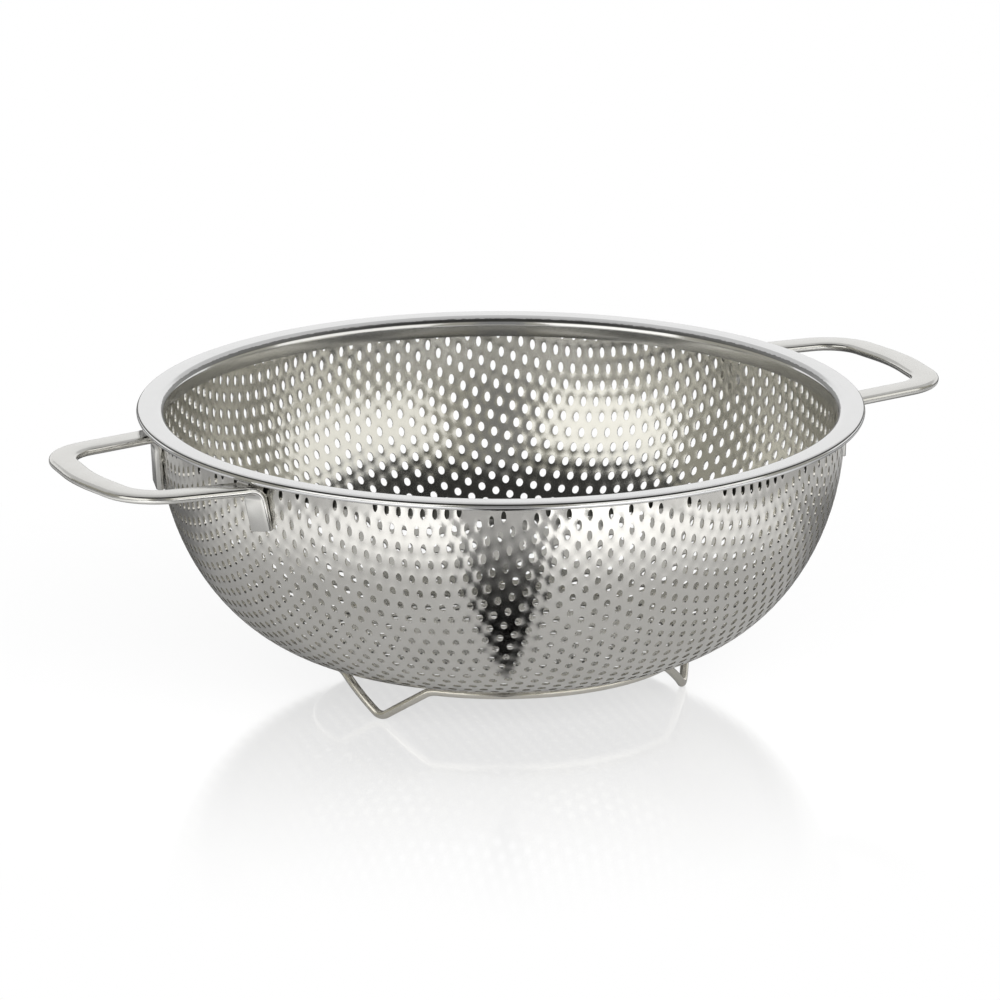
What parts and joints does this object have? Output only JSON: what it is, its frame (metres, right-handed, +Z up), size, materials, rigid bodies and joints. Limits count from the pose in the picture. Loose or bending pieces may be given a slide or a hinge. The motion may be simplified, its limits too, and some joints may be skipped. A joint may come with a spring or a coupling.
{
  "type": "colander",
  "caption": "Round steel colander with a deep perforated bowl, a folded rim, two bar handles and a bent wire base on three feet.",
  "frame": {"origin": "on the ground under the middle of the bowl", "axes": "+Z up, +X through the middles of the two handles"},
  "size_m": [0.314, 0.24, 0.094],
  "materials": {
    "bowl_steel": "satin, perforated",
    "rim_steel": "fine satin, near polished",
    "bar_steel": "satin, tumbled",
    "wire_steel": "satin wire"
  },
  "bodies": {
    "root": {"perforated_bowl": "bowl_steel", "rim_ring": "rim_steel", "handle_right": "bar_steel", "handle_left": "bar_steel", "wire_base": "wire_steel"}
  },
  "joints": []
}
